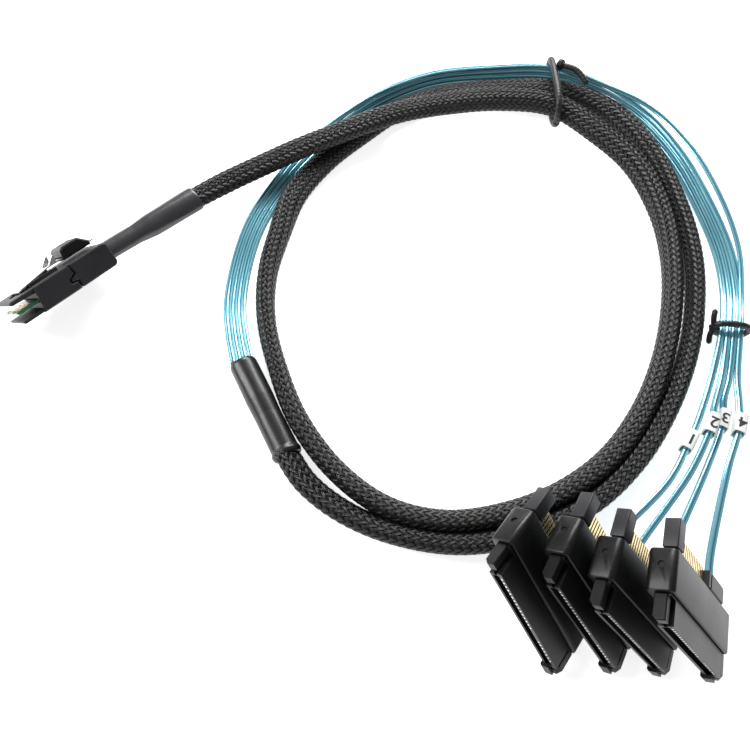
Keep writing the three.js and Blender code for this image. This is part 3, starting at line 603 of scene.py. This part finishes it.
# Routes
def unit(vectors):
    return vectors / np.linalg.norm(vectors, axis=-1, keepdims=True)


def section_axes(directions, rolls):
    """The directions along, across and over a flat section, turned by its roll."""
    along = unit(np.asarray(directions, float))
    level = unit(np.cross(UP, along))
    up = np.cross(along, level)
    angle = np.radians(np.asarray(rolls, float))[..., None]
    across = level * np.cos(angle) + up * np.sin(angle)
    return along, across, np.cross(along, across)


class Route:
    """A smooth line through points, walked by its length in metres.

    FINE is the number of steps from one point to the next, and REACH is how far to each side
    of a station its direction is taken.
    """

    FINE = 24
    REACH = 0.6 * MM

    def __init__(self, points, rolls=None, closed=False):
        points = np.asarray(points, float)
        rolls = np.zeros(len(points)) if rolls is None else np.asarray(rolls, float)
        if closed:
            padded = np.vstack([points[-1], points, points[:2]])
            rolls = np.append(rolls, rolls[0])
        else:
            before = 2 * points[0] - points[1]
            after = 2 * points[-1] - points[-2]
            padded = np.vstack([before, points, after])
        walked = [self.span(*padded[i:i + 4]) for i in range(len(padded) - 3)]
        self.points = np.vstack([*walked, padded[-2]])
        steps = np.linalg.norm(np.diff(self.points, axis=0), axis=1)
        self.stations = np.concatenate([[0.0], np.cumsum(steps)])
        self.length = self.stations[-1]
        places = np.linspace(0, len(rolls) - 1, len(self.points))
        self.rolls = np.interp(places, np.arange(len(rolls)), rolls)

    def span(self, before, start, end, after):
        """The curve from start to end, without its last point, eased by the gaps between the points."""
        gaps = [np.linalg.norm(b - a) ** 0.5 for a, b in ((before, start), (start, end), (end, after))]
        leave = (start - before) / gaps[0] - (end - before) / (gaps[0] + gaps[1]) + (end - start) / gaps[1]
        arrive = (end - start) / gaps[1] - (after - start) / (gaps[1] + gaps[2]) + (after - end) / gaps[2]
        leave = leave * gaps[1]
        arrive = arrive * gaps[1]
        t = np.linspace(0, 1, self.FINE, endpoint=False)[:, None]
        square = 3 * (end - start) - 2 * leave - arrive
        cube = 2 * (start - end) + leave + arrive
        return start + leave * t + square * t ** 2 + cube * t ** 3

    def at(self, stations):
        return np.stack([np.interp(stations, self.stations, self.points[:, k]) for k in range(3)], axis=-1)

    def frames(self, stations):
        ahead = self.at(np.minimum(stations + self.REACH, self.length))
        behind = self.at(np.maximum(stations - self.REACH, 0.0))
        return section_axes(ahead - behind, np.interp(stations, self.stations, self.rolls))


def lane(route, side, height):
    """The points of a route moved aside and up, as one wire of a bundle lies."""
    points = np.array([point[:3] for point in route])
    rolls = [point[3] for point in route]
    last = len(points) - 1
    ahead = points[[min(i + 1, last) for i in range(last + 1)]]
    behind = points[[max(i - 1, 0) for i in range(last + 1)]]
    _, across, over = section_axes(ahead - behind, rolls)
    return points + across * np.reshape(side, (-1, 1)) + over * height


def even_stations(length, step):
    return np.linspace(0.0, length, max(2, int(round(length / step)) + 1))


# Meshes
def add_object(name, mesh, material=None):
    made = bpy.data.objects.new(name, mesh)
    bpy.context.scene.collection.objects.link(made)
    if material is not None:
        mesh.materials.clear()
        mesh.materials.append(material)
    return made


def skin(name, strands, material, closed=False):
    """Tubes through rings of points. Each strand is its rings and the station of each ring."""
    points, faces, coordinates = [], [], []
    start = 0
    for rings, stations in strands:
        count, sides, _ = rings.shape
        points.append(rings.reshape(-1, 3))
        last = count if closed else count - 1
        i, k = np.meshgrid(np.arange(last), np.arange(sides), indexing="ij")
        corners = [(i, k), (i, k + 1), (i + 1, k + 1), (i + 1, k)]
        quad = [start + (a % count) * sides + b % sides for a, b in corners]
        faces += np.stack(quad, axis=-1).reshape(-1, 4).tolist()
        step = stations[1] - stations[0]
        walked = np.append(stations, stations[-1] + step)
        uv = [np.stack([walked[a], b / sides], axis=-1) for a, b in corners]
        coordinates.append(np.stack(uv, axis=2).reshape(-1, 2))
        if not closed:
            near = list(range(start + sides - 1, start - 1, -1))
            far = list(range(start + (count - 1) * sides, start + count * sides))
            faces += [near, far]
            coordinates.append(np.zeros((2 * sides, 2)))
        start += count * sides
    mesh = bpy.data.meshes.new(name)
    mesh.from_pydata(np.vstack(points).tolist(), [], faces)
    layer = mesh.uv_layers.new(name="along and around")
    layer.data.foreach_set("uv", np.vstack(coordinates).astype(np.float32).ravel())
    mesh.shade_smooth()
    return add_object(name, mesh, material)


def round_ring(sides):
    angle = 2 * np.pi * np.arange(sides) / sides
    return np.cos(angle), np.sin(angle)


def tube_rings(route, stations, widths, heights, sides):
    """Rings of an oval tube about a route, with its half widths and half heights."""
    centre = route.at(stations)
    _, across, over = route.frames(stations)
    x, y = round_ring(sides)
    x = np.reshape(widths, (-1, 1)) * x
    y = np.reshape(heights, (-1, 1)) * y
    return centre[:, None] + across[:, None] * x[..., None] + over[:, None] * y[..., None]


def settle(piece, slot, *nodes, body="cable"):
    """The piece rides on its body and stands for its CAD nodes, which it hides; its slot is not used."""
    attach(piece, body)
    if nodes:
        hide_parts(*nodes)


# Braided sleeve
class Oval:
    """An oval section whose points are walked by their share of its outline."""

    def __init__(self, width, height):
        self.width = width / 2
        self.height = height / 2
        self.angles = np.linspace(0, 2 * np.pi, 721)
        rim = np.stack([self.width * np.cos(self.angles), self.height * np.sin(self.angles)], axis=-1)
        steps = np.linalg.norm(np.diff(rim, axis=0), axis=1)
        self.shares = np.concatenate([[0], np.cumsum(steps)]) / steps.sum()

    def point_and_normal(self, share):
        angle = np.interp(share % 1.0, self.shares, self.angles)
        point = np.stack([self.width * np.cos(angle), self.height * np.sin(angle)], axis=-1)
        normal = unit(np.stack([np.cos(angle) / self.width, np.sin(angle) / self.height], axis=-1))
        return point, normal


STRAND_SECTION = np.array([
    (0.5, 0.0),
    (0.27, 0.5),
    (-0.27, 0.5),
    (-0.5, 0.0),
    (0.0, -0.5),
]) * (STRAND_WIDTH, STRAND_THICKNESS)


def woven_strand(route, stations, oval, number, hand):
    """One strand that winds round the sleeve, over two of the others and under two."""
    centre = route.at(stations)
    _, across, over = route.frames(stations)
    turns = stations / WEAVE_TURN
    share = number / STRANDS_EACH_WAY + hand * turns
    crossing = 2 * number + hand * 2 * STRANDS_EACH_WAY * turns
    rise = hand * STRAND_RISE * np.cos(np.pi / 2 * (crossing - 0.5))
    point, normal = oval.point_and_normal(share)
    outward = across * normal[:, :1] + over * normal[:, 1:]
    middle = centre + across * point[:, :1] + over * point[:, 1:] + outward * rise[:, None]
    heading = unit(np.gradient(middle, axis=0))
    outward = unit(outward - heading * np.sum(outward * heading, axis=1, keepdims=True))
    sideways = np.cross(outward, heading)
    x = STRAND_SECTION[:, 0, None]
    y = STRAND_SECTION[:, 1, None]
    return middle[:, None] + sideways[:, None] * x + outward[:, None] * y


def make_sleeve():
    route = Route([p[:3] for p in SLEEVE_ROUTE], [p[3] for p in SLEEVE_ROUTE])
    rows = even_stations(route.length, CORE_STEP)
    half_width = np.full(len(rows), SLEEVE_WIDTH / 2 - CORE_INSET)
    half_height = np.full(len(rows), SLEEVE_THICKNESS / 2 - CORE_INSET)
    core_rings = tube_rings(route, rows, half_width, half_height, CORE_SIDES)
    core = skin("sleeve_core", [(core_rings, rows)], core_finish)
    settle(core, "braid", "braided_sleeve")
    oval = Oval(SLEEVE_WIDTH - 2 * WEAVE_INSET, SLEEVE_THICKNESS - 2 * WEAVE_INSET)
    stations = even_stations(route.length, WEAVE_STEP)
    for hand, name in ((1, "sleeve_strands_right"), (-1, "sleeve_strands_left")):
        strands = []
        for number in range(STRANDS_EACH_WAY):
            strands.append((woven_strand(route, stations, oval, number, hand), stations))
        settle(skin(name, strands, strand_finish), "braid")
    return route, core


sleeve_route, sleeve_core = make_sleeve()


# Shrink tubes
def wrinkled_tube(name, start, end, stations, squash, folds, material):
    """A shrunk tube along a straight line: stations are [share of length, radius]."""
    route = Route([start, (start + end) / 2, end])
    rows = even_stations(route.length, TUBE_STEP)
    shares, radii = zip(*stations)
    radius = np.interp(rows / route.length, shares, np.array(radii) * MM)
    rings = tube_rings(route, rows, radius, radius * squash, TUBE_SIDES)
    centre = route.at(rows)[:, None]
    angle = 2 * np.pi * np.arange(TUBE_SIDES) / TUBE_SIDES
    place = rows[:, None] / route.length
    crease = np.sin(3 * angle + 5.0 * place) * np.sin(np.pi * place) + 0.6 * np.sin(5 * angle - 9.0 * place)
    rings = centre + (rings - centre) * (1 + folds * crease[..., None])
    return skin(name, [(rings, rows)], material)


def turned(pitch, roll, heading):
    pitch, roll, heading = (math.radians(angle) for angle in (pitch, roll, heading))
    return Matrix.Rotation(heading, 3, "Z") @ Matrix.Rotation(pitch, 3, "X") @ Matrix.Rotation(roll, 3, "Y")


def lie_of(lie, spot, mark):
    """The matrix from a piece's own frame to the part's frame, from the spot where its mark lies."""
    turn = turned(*lie)
    return Matrix.Translation(Vector(spot) * MM - turn @ mark) @ turn.to_4x4()


plug_place = lie_of(PLUG_LIE, PLUG_SPOT, PLUG_MARK)
connector_places = [
    lie_of(lie, spot, CONNECTOR_MARK) for lie, spot in zip(CONNECTOR_LIES, CONNECTOR_SPOTS)
]


def make_shrink_tubes():
    rear = np.array(plug_place @ BOOT_REAR)
    first = sleeve_route.at(BOOT_OVER_SLEEVE)
    boot = wrinkled_tube("plug_boot_tube", rear, first, BOOT_STATIONS, BOOT_SQUASH, BOOT_FOLDS, boot_finish)
    settle(boot, "boot_shrink", "plug_boot")
    last = sleeve_route.at(sleeve_route.length - BREAKOUT_OVER_SLEEVE)
    out = np.array(BUNDLE_ROUTE[0][:3])
    breakout = wrinkled_tube("breakout_tube", last, out, BREAKOUT_STATIONS, BREAKOUT_SQUASH, BREAKOUT_FOLDS,
                             breakout_finish)
    settle(breakout, "breakout_shrink", "breakout_shrink")
    return boot, breakout


boot_tube, breakout_tube = make_shrink_tubes()
core_rows = even_stations(sleeve_route.length, CORD_PATH_STEP)
sleeve_route.at(core_rows).tolist()


# Flat wires
def film_rings(route, stations):
    """Rings of a flat wire: two round conductors side by side under one film."""
    angle = 2 * np.pi * np.arange(WIRE_SIDES) / WIRE_SIDES
    x = np.cos(angle) * WIRE_WIDTH / 2
    dip = 1 - GROOVE_DEPTH * np.exp(-(x / GROOVE_WIDTH) ** 2)
    y = np.sign(np.sin(angle)) * np.abs(np.sin(angle)) ** 0.7 * WIRE_THICKNESS / 2 * dip
    centre = route.at(stations)
    _, across, over = route.frames(stations)
    return centre[:, None] + across[:, None] * x[:, None] + over[:, None] * y[:, None]


def exit_tail(place):
    """The last two points of a pair's route, straight in front of its wire exit."""
    points = [place @ (EXIT_FACE - Vector((0, gap, 0))) for gap in EXIT_TAIL_GAPS]
    return [(*point, 0) for point in points]


def make_wires():
    tails = []
    for i, place in enumerate(connector_places):
        column = i - (len(connector_places) - 1) / 2
        tail = PAIR_TAILS[i] + exit_tail(place)
        tails.append(tail)
        for letter, layer in (("a", -0.5), ("b", 0.5)):
            side = np.full(len(BUNDLE_ROUTE), column * LANE_PITCH)
            if (i, letter) == (3, "b"):
                swing = np.linspace(0, np.pi, LOOSE_TO - LOOSE_FROM + 1)
                side[LOOSE_FROM:LOOSE_TO + 1] += LOOSE_WIRE_SWING * np.sin(swing)
            points = np.vstack([
                lane(BUNDLE_ROUTE, side, layer * LAYER_PITCH),
                lane(tail, np.zeros(len(tail)), layer * LAYER_PITCH),
            ])
            route = Route(points, [p[3] for p in BUNDLE_ROUTE + tail])
            rows = even_stations(route.length, WIRE_STEP)
            wire = skin(f"film_{i + 1}_{letter}", [(film_rings(route, rows), rows)], film_finish)
            settle(wire, "wire_film", f"wire_{i + 1}_{letter}")
    return tails


pair_tails = make_wires()


# Wire flags with plain numbers
def flag_axes(tail):
    here = np.array(tail[FLAG_STATION][:3])
    direction = np.array(tail[FLAG_STATION + 1][:3]) - np.array(tail[FLAG_STATION - 1][:3])
    along, across, over = section_axes(direction, tail[FLAG_STATION][3])
    return here, along, across, over


def make_flag(number, tail):
    """A white sleeve round one pair, a little flattened, with its two open ends."""
    here, along, across, over = flag_axes(tail)
    x, y = round_ring(32)
    x = np.sign(x) * np.abs(x) ** 0.45
    y = np.sign(y) * np.abs(y) ** 0.45
    steps = [(-1.0, 0.0), (1.0, 0.0), (1.0, 0.5), (1.0, 1.0), (-1.0, 1.0), (-1.0, 0.5)]
    rings = []
    for place, depth in steps:
        width = FLAG_HALF_WIDTH - depth * FLAG_WALL
        height = FLAG_HALF_HEIGHT - depth * FLAG_WALL
        middle = here + along * place * FLAG_HALF_LENGTH
        rings.append(middle + np.outer(x, across) * width + np.outer(y, over) * height)
    rows = np.arange(len(steps)) * MM
    flag = skin(f"flag_{number}_sleeve", [(np.array(rings), rows)], flag_finish, closed=True)
    flag.data.set_sharp_from_angle(angle=math.radians(50))
    settle(flag, "flag", f"flag_{number}")
    text = bpy.data.curves.new(f"number {number}", "FONT")
    text.body = str(number)
    text.size = NUMBER_SIZE
    text.offset = 0.09 * MM
    text.extrude = INK_RISE
    text.align_x = "CENTER"
    text.align_y = "CENTER"
    letter = bpy.data.objects.new("number", text)
    bpy.context.scene.collection.objects.link(letter)
    mesh = bpy.data.meshes.new_from_object(letter.evaluated_get(bpy.context.evaluated_depsgraph_get()))
    bpy.data.objects.remove(letter)
    top = here + over * (FLAG_HALF_HEIGHT + INK_RISE)
    turn = Matrix((-across, along, over)).transposed()
    mesh.transform(Matrix.Translation(Vector(top)) @ turn.to_4x4())
    settle(add_object(f"flag_{number}_number", mesh, ink_finish), "flag")


for index, pair_tail in enumerate(pair_tails):
    make_flag(index + 1, pair_tail)


# Ties
def tie_strand(points, radius, closed=False):
    """One length of coated tie wire, rounded off at its free end."""
    route = Route(points, closed=closed)
    rows = even_stations(route.length, TIE_STEP)
    if closed:
        rows = rows[:-1]
    size = np.full(len(rows), radius)
    if not closed:
        left = np.clip((route.length - rows) / radius, 0, 1)
        size = radius * np.sqrt(1 - (1 - left) ** 2 * 0.92)
    return tube_rings(route, rows, size, size, TIE_SIDES), rows


def knot_turns(centre, axis, radius, wire):
    """Two crossing turns of the tie about its knot."""
    axis = unit(np.array(axis))
    side = unit(np.cross(axis, UP + OFF_UPRIGHT))
    second = np.cross(axis, side)
    angle = np.linspace(0, 2 * np.pi, KNOT_POINTS, endpoint=False)[:, None]
    turns = []
    for lean in (KNOT_LEAN, -KNOT_LEAN):
        first = unit(side * math.cos(lean) + axis * math.sin(lean))
        points = centre + radius * (first * np.cos(angle) + second * np.sin(angle))
        turns.append(tie_strand(points, wire, closed=True))
    return turns


def make_tie(name, loop, ends, knot, radius, slot_node):
    knot = np.array(knot)
    axis = np.array(ends[0][1]) - knot
    closed = [tie_strand(loop, radius, closed=True), *knot_turns(knot, axis, radius * 0.95, radius * 0.72)]
    parts = [skin(name + "_loops", closed, tie_finish, closed=True)]
    parts.append(skin(name + "_ends", [tie_strand(end, radius * 0.85) for end in ends], tie_finish))
    settle(parts[0], "tie", slot_node)
    settle(parts[1], "tie")


big_loop = [(BIG_TIE_X, y, z) for y, z in BIG_TIE_LOOP]
small_loop = [SMALL_TIE_CENTRE + SMALL_TIE_ACROSS * side + UP * rise for side, rise in SMALL_TIE_LOOP]
make_tie("coil_tie", big_loop, [BIG_TAIL], BIG_KNOT, BIG_TIE_RADIUS, "big_tie")
make_tie("bundle_tie", small_loop, SMALL_ENDS, SMALL_KNOT, SMALL_TIE_RADIUS, "small_tie")


# Rigid pieces
def softened(node, name, slot, material, edge, body="cable"):
    """A copy of a CAD node with its edges eased, as they come out of a mould."""
    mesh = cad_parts[node].data.copy()
    shape = bmesh.new()
    shape.from_mesh(mesh)
    bmesh.ops.remove_doubles(shape, verts=shape.verts, dist=1e-6)
    bmesh.ops.dissolve_limit(shape, angle_limit=math.radians(1.5), verts=shape.verts, edges=shape.edges)
    shape.to_mesh(mesh)
    shape.free()
    mesh.name = name
    made = add_object(name, mesh, material)
    mesh.shade_smooth()
    mesh.set_sharp_from_angle(angle=math.radians(28))
    ease = made.modifiers.new("eased edges", "BEVEL")
    ease.width = edge
    ease.segments = 2
    ease.limit_method = "ANGLE"
    ease.angle_limit = math.radians(32)
    ease.harden_normals = True
    settle(made, slot, node, body=body)


def contact_row_tree():
    """Geometry nodes: a row of flat contacts, each with a raised pad at its front."""
    tree = bpy.data.node_groups.new("contact row", "GeometryNodeTree")
    tree.interface.new_socket("Geometry", in_out="OUTPUT", socket_type="NodeSocketGeometry")
    sockets = [
        ("Count", "NodeSocketInt"),
        ("Pitch", "NodeSocketFloat"),
        ("Size", "NodeSocketVector"),
        ("Pad size", "NodeSocketVector"),
        ("Pad place", "NodeSocketVector"),
        ("Start", "NodeSocketVector"),
        ("Material", "NodeSocketMaterial"),
    ]
    for name, kind in sockets:
        tree.interface.new_socket(name, in_out="INPUT", socket_type=kind)

    def node(kind, sockets=None, **settings):
        made = tree.nodes.new(kind)
        for key, value in settings.items():
            setattr(made, key, value)
        for key, value in (sockets or {}).items():
            tree.links.new(value, made.inputs[key])
        return made

    given = node("NodeGroupInput").outputs
    step = node("ShaderNodeCombineXYZ", {"X": given["Pitch"]}).outputs[0]
    row = node("GeometryNodeMeshLine", {"Count": given["Count"], "Offset": step}).outputs[0]
    moved = node("GeometryNodeTransform", {"Geometry": row, "Translation": given["Start"]}).outputs[0]
    bar = node("GeometryNodeMeshCube", {"Size": given["Size"]}).outputs[0]
    pad = node("GeometryNodeMeshCube", {"Size": given["Pad size"]}).outputs[0]
    pad = node("GeometryNodeTransform", {"Geometry": pad, "Translation": given["Pad place"]}).outputs[0]
    contact = node("GeometryNodeJoinGeometry", {"Geometry": bar})
    tree.links.new(pad, contact.inputs["Geometry"])
    spread = node("GeometryNodeInstanceOnPoints", {"Points": moved, "Instance": contact.outputs[0]})
    real = node("GeometryNodeRealizeInstances", {"Geometry": spread.outputs[0]}).outputs[0]
    painted = node("GeometryNodeSetMaterial", {"Geometry": real, "Material": given["Material"]})
    node("NodeGroupOutput", {"Geometry": painted.outputs[0]})
    return tree


CONTACT_ROW = contact_row_tree()


def contact_row(name, slot, place, material, count, pitch, size, pad_size, pad_place, start):
    """A row of contacts in a piece's own frame, turned into a plain mesh and put in its place."""
    holder = bpy.data.objects.new(name + " maker", bpy.data.meshes.new(name + " maker"))
    bpy.context.scene.collection.objects.link(holder)
    maker = holder.modifiers.new("contacts", "NODES")
    maker.node_group = CONTACT_ROW
    values = {
        "Count": count, "Pitch": pitch, "Size": size, "Pad size": pad_size,
        "Pad place": pad_place, "Start": start, "Material": material,
    }
    for item in CONTACT_ROW.interface.items_tree:
        if item.in_out == "INPUT":
            value = values[item.name]
            maker[item.identifier] = list(value) if isinstance(value, Vector) else value
    graph = bpy.context.evaluated_depsgraph_get()
    mesh = bpy.data.meshes.new_from_object(holder.evaluated_get(graph))
    bpy.data.objects.remove(holder)
    mesh.transform(place)
    mesh.name = name
    settle(add_object(name, mesh), slot)


def make_connector(number, place):
    name = f"connector_{number}"
    softened(name + "_block", name + "_moulding", "block_moulding", block_finish, 0.22 * MM)
    softened(name + "_receptacle", name + "_housing", "receptacle", housing_finish, 0.1 * MM)
    softened(name + "_power_port", name + "_port", "power_port", port_finish, 0.1 * MM)
    softened(name + "_wire_exit", name + "_exit", "wire_exit", exit_finish, 0.18 * MM)
    first_signal = FIRST_CONTACT - (POWER_CONTACTS - 1) * CONTACT_PITCH - GROUP_GAP
    groups = (
        ("power", POWER_CONTACTS, FIRST_CONTACT),
        ("signal", SIGNAL_CONTACTS, first_signal),
    )
    for group, count, first in groups:
        contact_row(f"{name}_{group}_contacts", "receptacle", place, contact_finish, count, -CONTACT_PITCH,
                    CONTACT_BAR, CONTACT_TIP, CONTACT_TIP_PLACE,
                    Vector((first, CONTACT_BACK, CONTACT_HEIGHT)))
    contact_row(f"{name}_port_blades", "power_port", place, gold_finish, POWER_CONTACTS, -CONTACT_PITCH,
                BLADE_BAR, BLADE_TIP, BLADE_TIP_PLACE, Vector((FIRST_BLADE, BLADE_BACK, BLADE_HEIGHT)))


for index, connector_place in enumerate(connector_places):
    make_connector(index + 1, connector_place)


def make_plug():
    softened("plug_front_shell", "plug_front_moulding", "plug_housing", plug_finish, 0.16 * MM)
    softened("plug_rear_shell", "plug_rear_moulding", "plug_housing", plug_finish, 0.2 * MM)
    softened("plug_paddle_card", "plug_card", "paddle_card", board_finish, 0.05 * MM)
    softened("latch_strip", "latch_spring", "latch_steel", steel_finish, 0.06 * MM, body="latch")
    softened("latch_thumb_block", "latch_thumb_piece", "thumb_block", thumb_finish, 0.16 * MM, body="latch")
    for side, height in FINGER_HEIGHTS.items():
        contact_row(f"plug_card_{side}_fingers", "paddle_card", plug_place, gold_finish, FINGER_COUNT,
                    FINGER_PITCH, FINGER_BAR, FINGER_TIP, FINGER_TIP_PLACE,
                    Vector((FIRST_FINGER, FINGER_BACK, height)))


make_plug()


# Floor and light
def make_floor():
    mesh = bpy.data.meshes.new("floor")
    turns = [(-1, -1), (1, -1), (1, 1), (-1, 1)]
    corners = [(x * FLOOR_REACH, y * FLOOR_REACH, 0) for x, y in turns]
    mesh.from_pydata(corners, [], [(0, 1, 2, 3)])
    add_object("floor", mesh, pale_floor())


def soft_light(name, place, target, size, power):
    data = bpy.data.lights.new(name, "AREA")
    data.shape = "RECTANGLE"
    data.size, data.size_y = size
    data.energy = power
    lamp = bpy.data.objects.new(name, data)
    lamp.location = place
    lamp.rotation_euler = (Vector(target) - Vector(place)).to_track_quat("-Z", "Y").to_euler()
    bpy.context.scene.collection.objects.link(lamp)


def light_the_room():
    world = bpy.data.worlds.new("studio")
    world.use_nodes = True
    ground = world.node_tree.nodes["Background"]
    ground.inputs["Color"].default_value = (1.0, 1.0, 1.0, 1.0)
    ground.inputs["Strength"].default_value = SKY_STRENGTH
    bpy.context.scene.world = world
    for name, softbox in SOFTBOXES.items():
        soft_light(name, *softbox)


make_floor()
light_the_room()
bpy.context.scene.view_settings.view_transform = "Standard"
